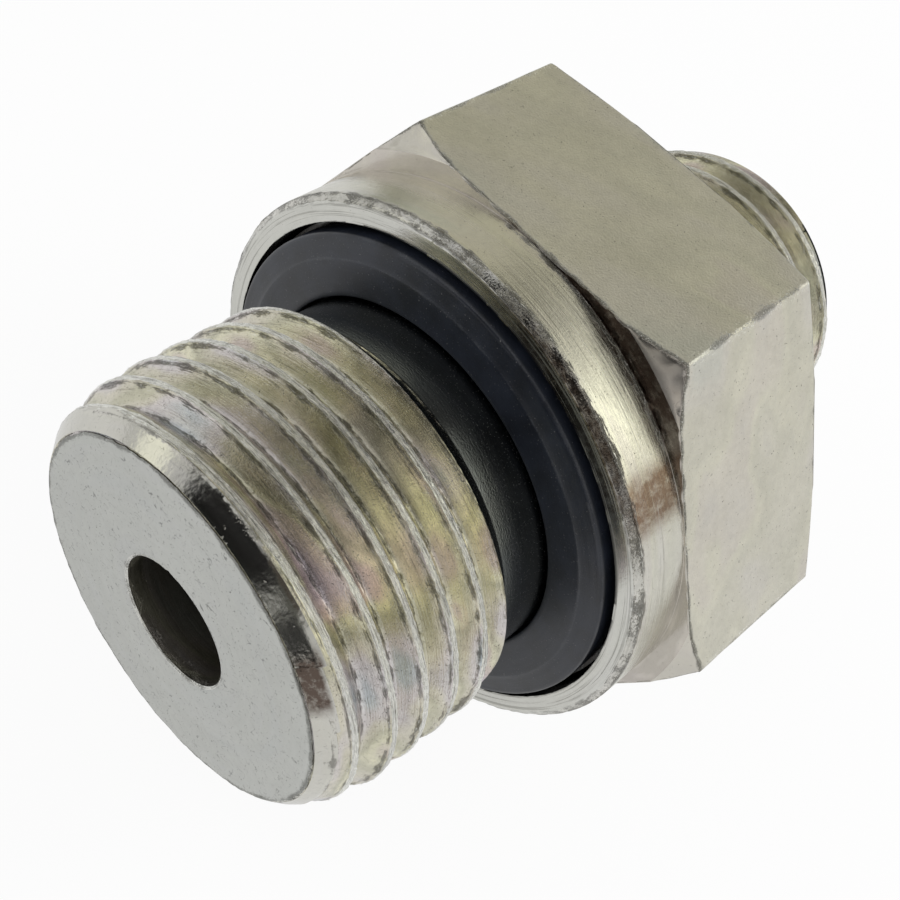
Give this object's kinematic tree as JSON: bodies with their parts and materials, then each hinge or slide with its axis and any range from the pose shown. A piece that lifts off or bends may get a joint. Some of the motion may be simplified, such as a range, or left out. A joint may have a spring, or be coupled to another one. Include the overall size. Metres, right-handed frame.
{
  "type": "hydraulic adapter",
  "caption": "Straight hydraulic adapter: threaded port stud with a captive face sealing ring, wrench hexagon and a tube stud with an inner cone.",
  "frame": {"origin": "on the fitting's axis, at the front face of the collar, which seats on the port", "axes": "+X along the axis, from the port stud to the tube stud; +Z out of one flat of the hexagon; the part lies on the opposite flat, which faces -Z"},
  "size_m": [0.0333, 0.0278, 0.024],
  "materials": {
    "plated_steel": "turned steel with a zinc plating, satin",
    "elastomer": "slate black elastomer, satin"
  },
  "bodies": {
    "root": {"adapter_body": "plated_steel", "sealing_ring": "elastomer"}
  },
  "joints": []
}
